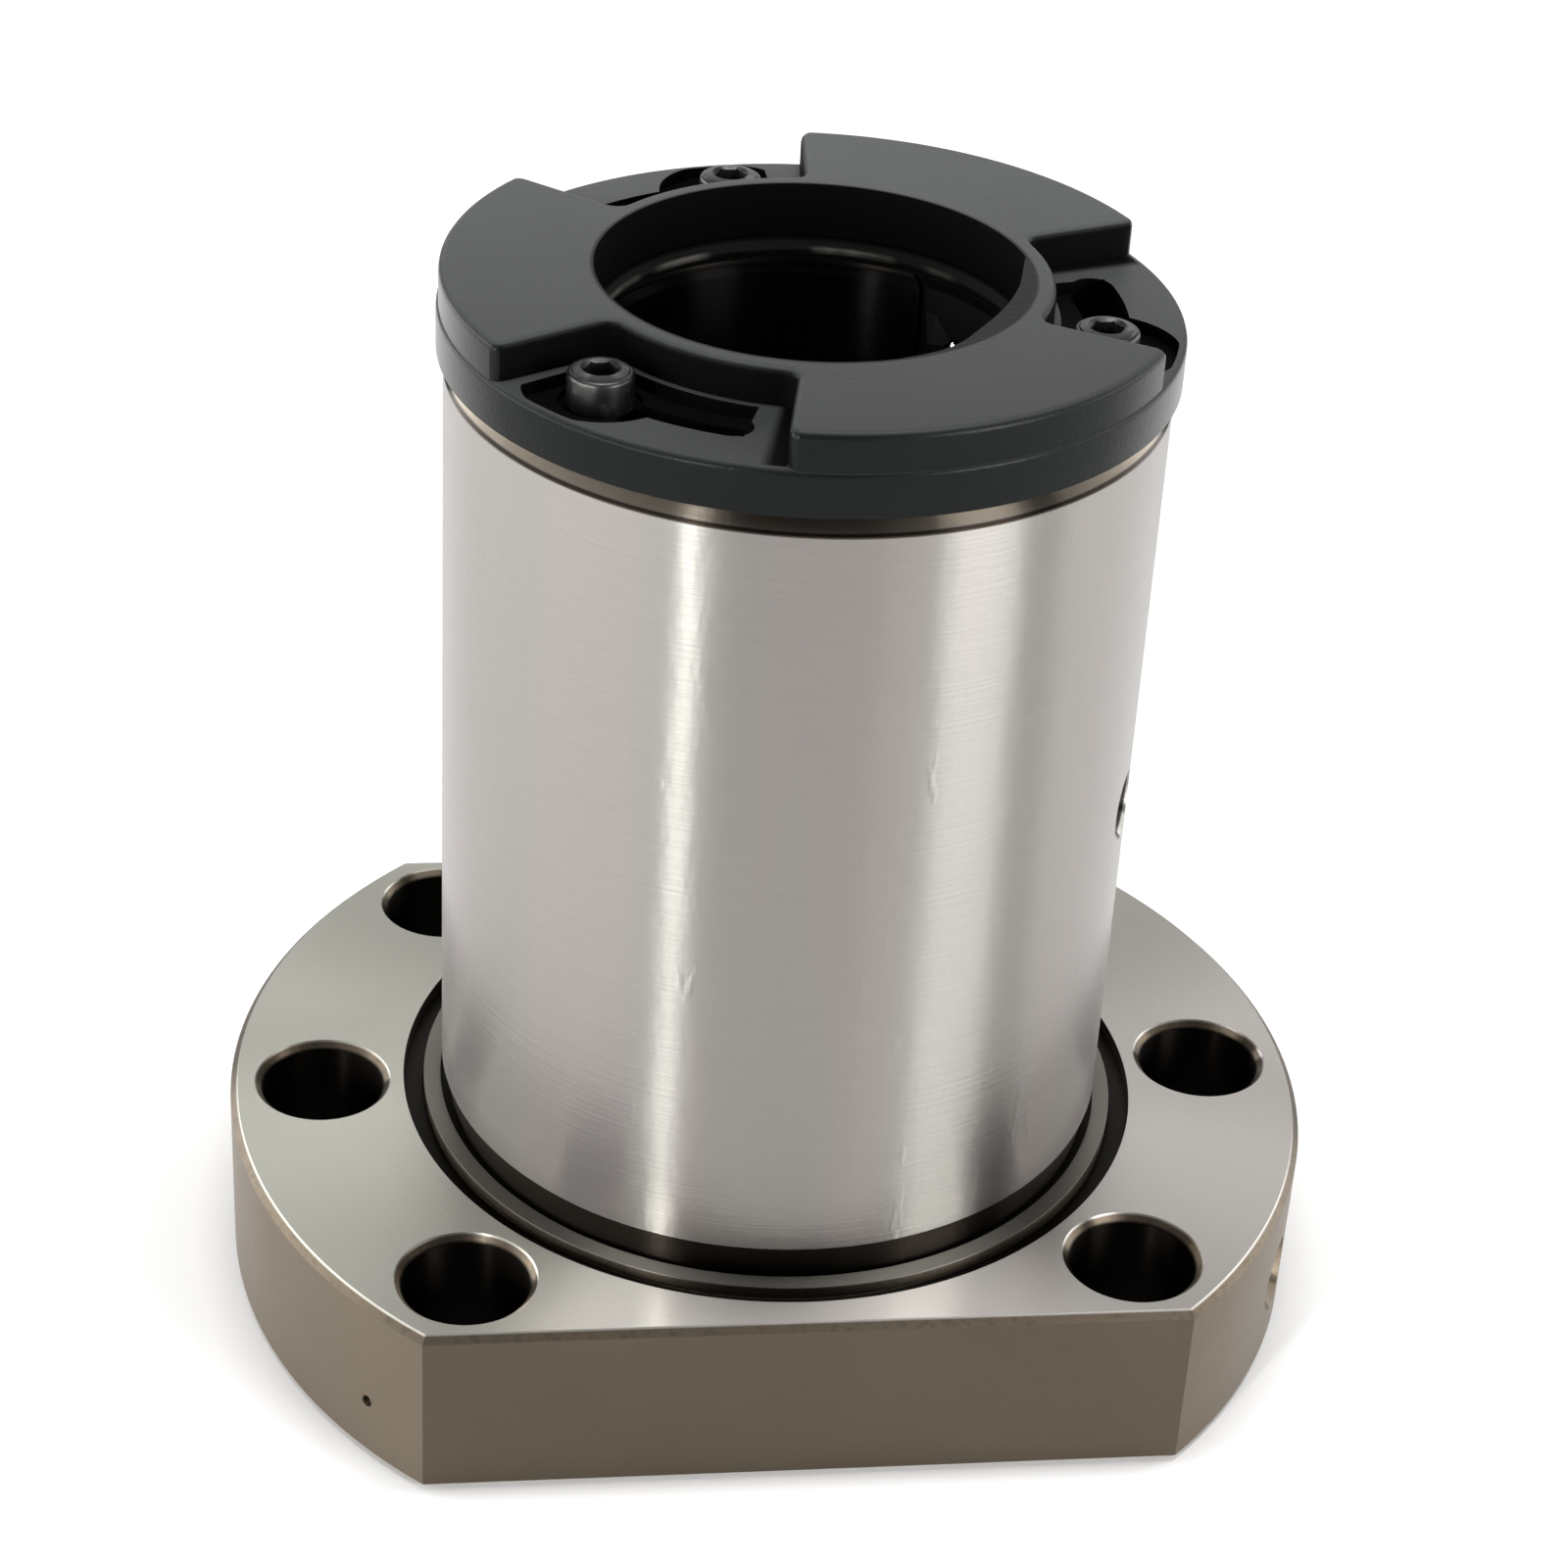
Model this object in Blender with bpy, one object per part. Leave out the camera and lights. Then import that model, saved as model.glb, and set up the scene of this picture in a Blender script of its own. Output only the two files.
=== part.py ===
"""Flanged ball screw nut for a 20 mm screw of 10 mm lead, standing on its flange.

The nut is one steel body with a Gothic arch ball track, closed at each end by a moulded cap.
The balls run up the track, are lifted out by a deflector, and come back down a drilled passage.
Units are metres, +Z runs up the screw axis, and the origin is the middle of the flange face.
"""

from math import acos, asin, atan, atan2, ceil, cos, floor, hypot, pi, radians, sin, sqrt

import bmesh
import bpy
from mathutils import Matrix, Vector

MM = 0.001

# Steel body and flange
nut_length = 58.0 * MM
body_diameter = 36.0 * MM
flange_diameter = 59.0 * MM
flange_thickness = 10.0 * MM
flats_width = 44.0 * MM
edge_chamfer = 0.4 * MM
body_chamfer = 0.8 * MM
relief_depth = 0.4 * MM
relief_height = 2.0 * MM
ridge_reach = 1.05 * MM
face_groove_width = 1.15 * MM
face_groove_depth = 0.8 * MM

# Bolt holes, three on each side of the flats
bolt_hole = 6.6 * MM
bolt_hole_chamfer = 0.4 * MM
bolt_inset = 5.0 * MM
bolt_flat_inset = 4.68 * MM
bolts_per_side = 3

# Screw thread and balls
lead = 10.0 * MM
ball_diameter = 3.175 * MM
land_diameter = 21.2 * MM
land_step = 0.35 * MM
groove_conformity = 0.55
running_clearance = 0.2 * MM
track_inset = 4.5 * MM

# Ball return
return_bend = 4.4 * MM
deflector_wall = 0.4 * MM
deflector_depth = 4.0 * MM

# End caps, measured from their outer face
cap_thickness = 4.2 * MM
cap_overhang = 0.35 * MM
cap_bore_gap = 0.15 * MM
collar_wall = 1.55 * MM
cap_edge_round = 0.5 * MM
cap_rim_step = 0.2 * MM
cap_rim_height = 2.1 * MM
pocket_count = 3
pocket_depth = 1.9 * MM
pocket_start = radians(209.5)
pocket_angle = radians(50.0)
slot_angle = radians(34.0)
flange_cap_sink = 0.2 * MM
flange_cap_turn = radians(128.0)

# The tongue of each cap and wiper that rides in the groove of the screw
tongue_angle = radians(332.0)
tongue_height = 1.0 * MM
tongue_width = 1.8 * MM

# Wiper rings
wiper_lip = 0.25 * MM
wiper_wall = 1.35 * MM
wiper_thickness = 1.1 * MM

# Cap screws, M2 socket heads
head_gap = 0.5 * MM
screw_angle = radians(11.0)
screw_size = 2.0 * MM
screw_head = 3.4 * MM
screw_head_height = 1.7 * MM
screw_chamfer = 0.2 * MM
screw_sink = 0.95 * MM
screw_length = 6.0 * MM
hex_size = 1.5 * MM
hex_depth = 0.9 * MM
tapped_spare = 1.3 * MM

# Lubrication port in the flange edge and blind hole in the side of the body
port_diameter = 3.5 * MM
port_wall = 4.85 * MM
port_drill = 1.6 * MM
port_angle = radians(-25.0)
port_height = 4.5 * MM
port_rise = 4.2 * MM
side_hole = 3.0 * MM
side_hole_depth = 2.4 * MM
side_hole_angle = radians(-21.0)
side_hole_height = 31.0 * MM

# Fits and facets
seat_gap = 0.3 * MM
round_steps = 60
ring_steps = 48
hole_steps = 18
screw_steps = 12
track_steps = 36
passage_steps = 10
bend_steps = 6
flange_steps = 24
tongue_rows = 1.4 * MM
ball_sides = 6
ball_shoulder = radians(27.0)
overcut = 1.0 * MM
skim = 0.1 * MM

# Sizes that follow
body_radius = body_diameter / 2
flange_radius = flange_diameter / 2
land_radius = land_diameter / 2
ball_radius = ball_diameter / 2
ball_pitch = 0.985 * ball_diameter
passage_radius = ball_radius + running_clearance
track_radius = land_radius - land_step
return_radius = (body_radius + land_radius) / 2
deflector_width = 2 * (passage_radius + deflector_wall)

groove_inner_radius = body_radius + ridge_reach
groove_outer_radius = groove_inner_radius + face_groove_width
bolt_radius = flange_radius - bolt_inset

cap_radius = body_radius + cap_overhang
cap_bore_radius = land_radius + cap_bore_gap
collar_radius = cap_bore_radius + collar_wall
recess_radius = cap_radius + seat_gap
cap_seat = cap_thickness + flange_cap_sink + seat_gap
steel_length = nut_length - cap_thickness - seat_gap
wiper_bore_radius = land_radius - wiper_lip
wiper_radius = wiper_bore_radius + wiper_wall
port_foot_radius = recess_radius + port_wall

screw_radius = collar_radius + screw_head / 2 + head_gap
screw_seat = pocket_depth + screw_sink
tapped_depth = screw_length + screw_seat - cap_thickness + tapped_spare

# The track has as many whole turns as fit between the caps, and ends where the return begins
half_gap = acos(track_radius / return_radius)
part_turn = 1 - half_gap / pi
track_top = steel_length - track_inset
full_turns = floor((track_top - cap_seat - track_inset) / lead - part_turn)
track_turns = full_turns + part_turn
track_bottom = track_top - track_turns * lead


def thread_angle(height):
    """Angle of the middle of the screw's groove at a height, seen from above."""
    return tongue_angle + 2 * pi * (height - nut_length) / lead


def track_point(height):
    """Middle of a ball that lies in the track at a height."""
    angle = thread_angle(height)
    return Vector((track_radius * cos(angle), track_radius * sin(angle), height))


def circle_point(radius, angle, height=0.0):
    return Vector((radius * cos(angle), radius * sin(angle), height))


def turn_over(angle, height):
    """Half turn about a level line through the axis, which leaves the thread as it was."""
    lift = Matrix.Translation((0, 0, height))
    half_turn = Matrix.Rotation(pi, 4, circle_point(1.0, angle))
    return lift @ half_turn @ lift.inverted()


def clear_scene():
    for item in list(bpy.data.objects):
        bpy.data.objects.remove(item, do_unlink=True)


def finish(name, colour, metallic, roughness):
    """Material of one piece, in the colour it has in daylight."""
    material = bpy.data.materials.new(name)
    material.use_nodes = True
    shader = material.node_tree.nodes["Principled BSDF"]
    shader.inputs["Base Color"].default_value = (*colour, 1.0)
    shader.inputs["Metallic"].default_value = metallic
    shader.inputs["Roughness"].default_value = roughness
    material.diffuse_color = (*colour, 1.0)
    return material


def make_object(name, shape, material=None, place=None):
    """Turn a bmesh into an object with its faces pointing out."""
    bmesh.ops.recalc_face_normals(shape, faces=shape.faces[:])
    mesh = bpy.data.meshes.new(name)
    shape.to_mesh(mesh)
    shape.free()
    if material:
        mesh.materials.append(material)
    mesh.shade_smooth()
    mesh.set_sharp_from_angle(angle=radians(32.0))
    item = bpy.data.objects.new(name, mesh)
    bpy.context.collection.objects.link(item)
    if place is not None:
        item.matrix_world = place
    return item


def combine(target, cutter, operation="DIFFERENCE"):
    """Cut one object with another, or join it on, and keep the cutter out of sight."""
    cutter.hide_render = True
    cutter.display_type = "WIRE"
    modifier = target.modifiers.new(cutter.name, "BOOLEAN")
    modifier.operation = operation
    modifier.solver = "EXACT"
    modifier.object = cutter


def turned(profile, steps=round_steps):
    """Spin a closed profile of (radius, height) points about the Z axis."""
    shape = bmesh.new()
    corners = [shape.verts.new((radius, 0, height)) for radius, height in profile]
    edges = [shape.edges.new((a, b)) for a, b in zip(corners, corners[1:] + corners[:1])
             if a.co.x > 0 or b.co.x > 0]
    bmesh.ops.spin(shape, geom=corners + edges, cent=(0, 0, 0), axis=(0, 0, 1),
                   angle=2 * pi, steps=steps, use_merge=True)
    bmesh.ops.remove_doubles(shape, verts=shape.verts[:], dist=1e-7)
    return shape


def prism(outline, bottom, top):
    """Extrude a level outline of (x, y) points from one height to another."""
    shape = bmesh.new()
    face = shape.faces.new([shape.verts.new((x, y, bottom)) for x, y in outline])
    raised = bmesh.ops.extrude_face_region(shape, geom=[face])["geom"]
    lifted = [item for item in raised if isinstance(item, bmesh.types.BMVert)]
    bmesh.ops.translate(shape, verts=lifted, vec=(0, 0, top - bottom))
    return shape


def loft(rings, closed=False):
    """Skin a row of rings of equal length, and cap its two ends unless it closes on itself."""
    shape = bmesh.new()
    rows = [[shape.verts.new(point) for point in ring] for ring in rings]
    following = rows[1:] + rows[:1] if closed else rows[1:]
    for near, far in zip(rows, following):
        for i in range(len(near)):
            j = (i + 1) % len(near)
            shape.faces.new((near[i], near[j], far[j], far[i]))
    if not closed:
        shape.faces.new(rows[0])
        shape.faces.new(rows[-1])
    return shape


def ring_around(middle, ahead, side, radius, sides):
    """Ring of points round a line, square to its direction."""
    across = (side - ahead * side.dot(ahead)).normalized()
    above = ahead.cross(across)
    turns = [2 * pi * i / sides for i in range(sides)]
    return [middle + radius * (cos(t) * across + sin(t) * above) for t in turns]


def pin(radius, start, end, steps=hole_steps):
    """Round bar between two points."""
    ahead = (end - start).normalized()
    side = Vector((0, 0, 1)) if abs(ahead.z) < 0.9 else Vector((1, 0, 0))
    return loft([ring_around(point, ahead, side, radius, steps) for point in (start, end)])


def countersunk(radius, chamfer, start, end, steps=hole_steps):
    """Round bar that flares to a chamfer where it enters at its start."""
    ahead = (end - start).normalized()
    side = Vector((0, 0, 1)) if abs(ahead.z) < 0.9 else Vector((1, 0, 0))
    stations = [(-overcut, radius + chamfer + overcut), (chamfer, radius)]
    stations.append(((end - start).length, radius))
    rings = [ring_around(start + ahead * along, ahead, side, size, steps) for along, size in stations]
    return loft(rings)


def sector(inner, outer, start, sweep, bottom, top):
    """Part of a ring between two radii, two angles and two heights."""
    steps = max(2, ceil(sweep / (2 * pi / round_steps)))
    angles = [start + sweep * i / steps for i in range(steps + 1)]
    outline = [(outer * cos(a), outer * sin(a)) for a in angles]
    outline += [(inner * cos(a), inner * sin(a)) for a in reversed(angles)]
    return prism(outline, bottom, top)


def curved_slot(radius, width, start, sweep, bottom, top):
    """Slot with round ends that follows a circle about the axis."""
    steps = max(2, ceil(sweep / radians(6.0)))
    half = width / 2
    outline = []
    for i in range(steps + 1):
        angle = start + sweep * i / steps
        outline.append(circle_point(radius + half, angle).to_2d())
    outline += round_end(circle_point(radius, start + sweep), start + sweep, half)
    for i in range(steps + 1):
        angle = start + sweep * (1 - i / steps)
        outline.append(circle_point(radius - half, angle).to_2d())
    outline += round_end(circle_point(radius, start), start + pi, half)
    return prism(outline, bottom, top)


def round_end(middle, start, radius, steps=6):
    """Inner points of a half circle, from an angle on through a half turn."""
    turns = [start + pi * i / steps for i in range(1, steps)]
    return [(middle.to_2d() + radius * Vector((cos(t), sin(t)))) for t in turns]


def flange_outline(inset):
    """Round flange cut by two flats, drawn in by an inset."""
    radius = flange_radius - inset
    half = flats_width / 2 - inset
    corner = asin(half / radius)
    right = [-corner + 2 * corner * i / flange_steps for i in range(flange_steps + 1)]
    return [circle_point(radius, angle) for angle in right + [pi + angle for angle in right]]


def flange_blank():
    """Flange with its two rims chamfered."""
    levels = [(edge_chamfer, 0.0), (0.0, edge_chamfer), (0.0, flange_thickness - edge_chamfer),
              (edge_chamfer, flange_thickness)]
    return loft([[Vector((p.x, p.y, height)) for p in flange_outline(inset)] for inset, height in levels])


def body_blank():
    """Turned cylinder with a grinding relief at its root and a chamfer at its end."""
    root = flange_thickness
    relief = body_radius - relief_depth
    return turned([
        (0, cap_seat + overcut),
        (relief, cap_seat + overcut),
        (relief, root + relief_height - relief_depth),
        (body_radius, root + relief_height),
        (body_radius, steel_length - body_chamfer),
        (body_radius - body_chamfer, steel_length),
        (0, steel_length),
    ])


def groove_section():
    """Gothic arch of the ball track, from its lower lip to its upper lip, as (radius, height)."""
    arc = groove_conformity * ball_diameter + running_clearance
    offset = (groove_conformity * ball_diameter - ball_radius) / sqrt(2)
    middle = track_radius - offset
    apex = asin(offset / arc)
    lip = acos((land_radius - middle) / arc)
    steps = 2
    upper = []
    for i in range(steps + 1):
        turn = apex + (lip - apex) * i / steps
        upper.append((middle + arc * cos(turn), arc * sin(turn) - offset))
    return [(radius, -height) for radius, height in reversed(upper[1:])] + upper


def bore_core():
    """Core of the bore with the ball track standing on it, cut out of the body in one piece.

    Its columns lie at even angles. The track crosses one column after another as it climbs, and
    the land between its turns is filled facet by facet.
    """
    shape = bmesh.new()
    section = groove_section()
    count = round(track_turns * track_steps)
    first = thread_angle(track_bottom)
    columns = []
    for i in range(track_steps):
        angle = first + 2 * pi * i / track_steps
        columns.append([shape.verts.new(circle_point(land_radius, angle, height))
                        for height in (cap_seat - overcut, steel_length + overcut)])
    track = []
    for k in range(count + 1):
        height = track_bottom + lead * k / track_steps
        angle = first + 2 * pi * k / track_steps
        track.append([shape.verts.new(circle_point(r, angle, height + z)) for r, z in section])
        columns[k % track_steps] += [track[k][0], track[k][-1]]
    for near, far in zip(track, track[1:]):
        for a, b, c, d in zip(near, far, far[1:], near[1:]):
            shape.faces.new((a, b, c, d))
    shape.faces.new(track[0])
    shape.faces.new(track[-1])
    for i in range(track_steps):
        left = sorted(columns[i], key=lambda corner: corner.co.z)
        right = sorted(columns[(i + 1) % track_steps], key=lambda corner: corner.co.z)
        crossings = range(i, count, track_steps)
        floors = [(left[0], right[0])] + [(track[k][-1], track[k + 1][-1]) for k in crossings]
        roofs = [(track[k][0], track[k + 1][0]) for k in crossings] + [(left[-1], right[-1])]
        for floor_pair, roof_pair in zip(floors, roofs):
            near = left[left.index(floor_pair[0]):left.index(roof_pair[0]) + 1]
            far = right[right.index(floor_pair[1]):right.index(roof_pair[1]) + 1]
            shape.faces.new(far + near[::-1])
    shape.faces.new([column[0] for column in columns])
    shape.faces.new([column[1] for column in columns])
    return shape


def return_path():
    """Middle line of the upper half of the return, from the track to the drilled passage.

    The balls leave the track along its tangent, rise with its slope, and bend down into the passage.
    """
    start = track_point(track_top)
    angle = thread_angle(track_top)
    level = Vector((-sin(angle), cos(angle), 0))
    up = Vector((0, 0, 1))
    slope = atan(lead / (2 * pi * track_radius))
    reach = sqrt(return_radius ** 2 - track_radius ** 2)
    straight = (reach - return_bend * (1 + sin(slope))) / cos(slope)
    ahead = level * cos(slope) + up * sin(slope)
    points = [start, start + ahead * straight]
    centre = points[-1] + return_bend * (level * sin(slope) - up * cos(slope))
    for i in range(1, bend_steps + 1):
        turn = (pi / 2 + slope) * (1 - i / bend_steps)
        points.append(centre + return_bend * (level * cos(turn) + up * sin(turn)))
    return points


def return_line():
    """Middle line of the whole return, from the top of the track to its bottom."""
    upper = return_path()
    flip = turn_over(return_angle(), (track_top + track_bottom) / 2)
    lower = [flip @ point for point in reversed(upper)]
    return upper + lower


def return_angle():
    """Angle of the drilled passage, seen from above."""
    return thread_angle(track_top) + half_gap


def passage_cutter():
    """Tube that the balls come back through, from track to track."""
    line = return_line()
    entry = line[0] + (line[0] - line[1]).normalized() * ball_radius
    leave = line[-1] + (line[-1] - line[-2]).normalized() * ball_radius
    return tube([entry] + line[1:-1] + [leave], passage_radius, passage_steps)


def tube(line, radius, sides):
    """Tube along a line of points of the return, without twist."""
    side = circle_point(1.0, return_angle())
    rings = []
    for i, point in enumerate(line):
        ahead = line[min(i + 1, len(line) - 1)] - line[max(i - 1, 0)]
        rings.append(ring_around(point, ahead.normalized(), side, radius, sides))
    return loft(rings)


def deflector_outline(margin):
    """Plan of a deflector: a bar along the tangent of the track with a round outer end."""
    start = circle_point(track_radius, thread_angle(track_top)).to_2d()
    end = circle_point(return_radius, return_angle()).to_2d()
    ahead = (end - start).normalized()
    side = Vector((-ahead.y, ahead.x))
    half = deflector_width / 2 + margin
    back = start - ahead * (ball_radius / 2 + margin)
    outline = [back + side * half, back - side * half]
    steps = 8
    for i in range(steps + 1):
        turn = -pi / 2 + pi * i / steps
        outline.append(end + half * (cos(turn) * ahead + sin(turn) * side))
    return outline


def rows_between(low, high):
    """Even heights from one to another, close enough together to follow the tongue."""
    rows = max(1, round((high - low) / tongue_rows))
    return [low + (high - low) * j / rows for j in range(rows + 1)]


def bore_radius(radius, point):
    """Radius of a bore at a point of the assembly, where the tongue narrows it along the thread."""
    turns = (atan2(point.y, point.x) - thread_angle(point.z)) / (2 * pi)
    off = abs(turns - round(turns)) * lead / (tongue_width / 2)
    depth = tongue_height * max(0.0, 1 - off ** 3)
    return min(radius, cap_bore_radius - depth)


def bored_ring(profile, radius, place):
    """Ring with a turned outside and a bore that carries the tongue.

    The profile of (radius, height) points runs round the outside, from the top to the foot.
    """
    top = profile[0][1]
    foot = profile[-1][1]
    columns = []
    for i in range(ring_steps):
        angle = 2 * pi * i / ring_steps
        column = [circle_point(r, angle, height) for r, height in profile]
        for height in rows_between(foot, top):
            narrowed = bore_radius(radius, place @ circle_point(radius, angle, height))
            column.append(circle_point(narrowed, angle, height))
        columns.append(column)
    return loft(columns, closed=True)


def bore_cutter(radius, low, high):
    """Round core that cuts a bore with the tongue standing in it."""
    angles = [2 * pi * i / ring_steps for i in range(ring_steps)]
    rings = []
    for height in rows_between(low - skim, high + skim):
        rings.append([circle_point(bore_radius(radius, circle_point(radius, angle, height)), angle, height)
                      for angle in angles])
    return loft(rings)


def bolt_angles():
    """Angles of the bolt holes, seen from above, the same on both sides of the flats."""
    last = asin((flats_width / 2 - bolt_flat_inset) / bolt_radius)
    spread = [last * (2 * i / (bolts_per_side - 1) - 1) for i in range(bolts_per_side)]
    return spread + [pi + angle for angle in spread]


def pocket_angles():
    return [pocket_start + 2 * pi * i / pocket_count for i in range(pocket_count)]


def cap_screw_angles():
    return [angle + screw_angle for angle in pocket_angles()]


def cap_places():
    """Where the two caps sit: on the far end of the body, and turned over in the flange."""
    outer = Matrix.Translation((0, 0, nut_length))
    lift = Matrix.Translation((0, 0, flange_cap_sink))
    return {"outer": outer, "flange": lift @ turn_over(return_angle() + flange_cap_turn, 0)}


def nut_body():
    """Steel body with its flange, ball track, return passage, recesses and holes."""
    steel = finish("ground_steel", (0.56, 0.54, 0.51), 1.0, 0.28)
    body = make_object("nut_body", flange_blank(), steel)
    combine(body, make_object("join_cylinder", body_blank()), "UNION")
    base = flange_thickness
    combine(body, make_object("cut_face_groove", turned([
        (groove_inner_radius, base - face_groove_depth),
        (groove_outer_radius, base - face_groove_depth),
        (groove_outer_radius, base + overcut),
        (groove_inner_radius, base + overcut),
    ])))
    combine(body, make_object("cut_recess", turned([
        (0, -overcut), (recess_radius, -overcut), (recess_radius, cap_seat), (0, cap_seat),
    ])))
    combine(body, make_object("cut_bore_and_track", bore_core()))
    upper = circle_point(return_radius, return_angle(), track_top - deflector_depth)
    lower = circle_point(return_radius, return_angle(), track_bottom + deflector_depth)
    combine(body, make_object("cut_passage", pin(passage_radius, lower, upper, passage_steps)))
    slots = deflector_slots()
    for end, (outline, bottom, top, place) in slots.items():
        combine(body, make_object(f"cut_{end}_slot", prism(outline, bottom, top), place=place))
    drill_flange(body)
    drill_cap_screws(body)
    drill_sides(body)


def deflector_slots():
    """Milled slots for the two deflectors, open to the caps."""
    outline = deflector_outline(seat_gap)
    bottom = track_top - deflector_depth - seat_gap
    flip = turn_over(return_angle(), (track_top + track_bottom) / 2)
    flange_top = track_top + track_bottom - cap_seat
    return {
        "outer": (outline, bottom, steel_length + overcut, Matrix.Identity(4)),
        "flange": (outline, bottom, flange_top + overcut, flip),
    }


def drill_flange(body):
    """Bolt holes through the flange, chamfered on the face that the screw heads bear on."""
    for i, angle in enumerate(bolt_angles()):
        foot = circle_point(bolt_radius, angle, -overcut)
        mouth = circle_point(bolt_radius, angle, flange_thickness)
        cutter = countersunk(bolt_hole / 2, bolt_hole_chamfer, mouth, foot)
        combine(body, make_object(f"cut_bolt_hole_{i + 1}", cutter))


def drill_cap_screws(body):
    """Tapped holes for the cap screws in both ends of the body."""
    radius = screw_size / 2 + seat_gap
    for end, place in cap_places().items():
        for i, angle in enumerate(cap_screw_angles()):
            mouth = circle_point(screw_radius, angle, overcut - cap_thickness - seat_gap)
            foot = mouth - Vector((0, 0, tapped_depth + overcut))
            cutter = pin(radius, place @ mouth, place @ foot, screw_steps)
            combine(body, make_object(f"cut_{end}_tapped_hole_{i + 1}", cutter))


def drill_sides(body):
    """Lubrication port, the drilling that leads on to the track, and the blind hole in the body."""
    mouth = circle_point(flange_radius, port_angle, port_height)
    foot = circle_point(port_foot_radius, port_angle, port_height)
    port = countersunk(port_diameter / 2, edge_chamfer, mouth, foot)
    combine(body, make_object("cut_port", port))
    inner = circle_point(land_radius - overcut, port_angle, port_height + port_rise)
    outer = circle_point(port_foot_radius + overcut, port_angle, port_height)
    combine(body, make_object("cut_port_drilling", pin(port_drill / 2, outer, inner, screw_steps)))
    mouth = circle_point(body_radius, side_hole_angle, side_hole_height)
    foot = circle_point(body_radius - side_hole_depth, side_hole_angle, side_hole_height)
    hole = countersunk(side_hole / 2, edge_chamfer, mouth, foot)
    combine(body, make_object("cut_side_hole", hole))


def end_cap(end, place):
    """Moulded cap with three raised sectors, and pockets between them for the screws."""
    plastic = finish(f"{end}_cap_plastic", (0.035, 0.038, 0.037), 0.0, 0.42)
    shoulder = cap_radius - cap_rim_step
    cap = make_object(f"end_cap_{end}", bored_ring([
        (shoulder - cap_edge_round, 0),
        (shoulder, -cap_edge_round),
        (shoulder, cap_rim_height - cap_thickness),
        (cap_radius, cap_rim_height - cap_rim_step - cap_thickness),
        (cap_radius, -cap_thickness),
        (wiper_radius + seat_gap, -cap_thickness),
        (wiper_radius + seat_gap, wiper_thickness + seat_gap - cap_thickness),
    ], cap_bore_radius, place), plastic, place)
    for i, angle in enumerate(pocket_angles()):
        pocket = sector(collar_radius, cap_radius + overcut, angle, pocket_angle, -pocket_depth, overcut)
        combine(cap, make_object(f"cut_{end}_pocket_{i + 1}", pocket, place=place))
        slot = curved_slot(screw_radius, screw_size + 2 * seat_gap, angle + screw_angle,
                           slot_angle, -cap_thickness - overcut, overcut)
        combine(cap, make_object(f"cut_{end}_slot_{i + 1}", slot, place=place))
        seat = circle_point(screw_radius, angle + screw_angle, -screw_seat)
        counterbore = pin(screw_head / 2 + seat_gap, seat, seat + Vector((0, 0, screw_seat + overcut)))
        combine(cap, make_object(f"cut_{end}_counterbore_{i + 1}", counterbore, place=place))


def wiper(end, place):
    """Plastic wiper ring between cap and body, with a tongue for the groove of the screw."""
    nylon = finish(f"{end}_wiper_nylon", (0.06, 0.06, 0.055), 0.0, 0.5)
    outer_face = seat_gap / 2 - cap_thickness + wiper_thickness
    inner_face = outer_face - wiper_thickness
    ring = bored_ring([(wiper_radius, outer_face), (wiper_radius, inner_face)], wiper_bore_radius, place)
    make_object(f"wiper_{end}", ring, nylon, place)


def cap_screw(end, number, angle, place):
    """Socket head screw that clamps a cap in its slot."""
    steel = finish(f"{end}_screw_steel_{number}", (0.20, 0.20, 0.19), 1.0, 0.35)
    head = screw_head / 2
    shank = screw_size / 2
    top = seat_gap / 2 - screw_seat + screw_head_height
    middle = circle_point(screw_radius, angle)
    at = place @ Matrix.Translation(middle)
    foot = top - screw_head_height - screw_length
    screw = make_object(f"cap_screw_{end}_{number}", turned([
        (0, top),
        (head - screw_chamfer, top),
        (head, top - screw_chamfer),
        (head, top - screw_head_height),
        (shank, top - screw_head_height),
        (shank, foot + screw_chamfer),
        (shank - screw_chamfer, foot),
        (0, foot),
    ], screw_steps), steel, at)
    across = hex_size / 2 / cos(pi / 6)
    corners = [(across * cos(pi / 3 * i), across * sin(pi / 3 * i)) for i in range(6)]
    socket = prism(corners, top - hex_depth, top + overcut)
    combine(screw, make_object(f"cut_{end}_hex_{number}", socket, place=at))


def deflector(end):
    """Moulded insert that lifts the balls out of the track and turns them into the passage."""
    resin = finish(f"{end}_deflector_resin", (0.05, 0.05, 0.048), 0.0, 0.45)
    bottom = track_top - deflector_depth
    if end == "outer":
        place = Matrix.Identity(4)
        top = steel_length
    else:
        place = turn_over(return_angle(), (track_top + track_bottom) / 2)
        top = track_top + track_bottom - cap_seat
    block = make_object(f"deflector_{end}", prism(deflector_outline(0), bottom, top), resin, place)
    low, high = sorted((place @ Vector((0, 0, height))).z for height in (bottom, top))
    core = bore_cutter(land_radius, low, high)
    combine(block, make_object(f"cut_{end}_deflector_bore", core))
    combine(block, make_object(f"cut_{end}_deflector_passage", passage_cutter()))


def train_length(count):
    """Length of a train of touching balls, drawn pressed together by a small part."""
    return (count - 1) * ball_pitch + ball_diameter


def balls_that_fit(length):
    return floor((length - seat_gap - ball_diameter) / ball_pitch) + 1


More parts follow.
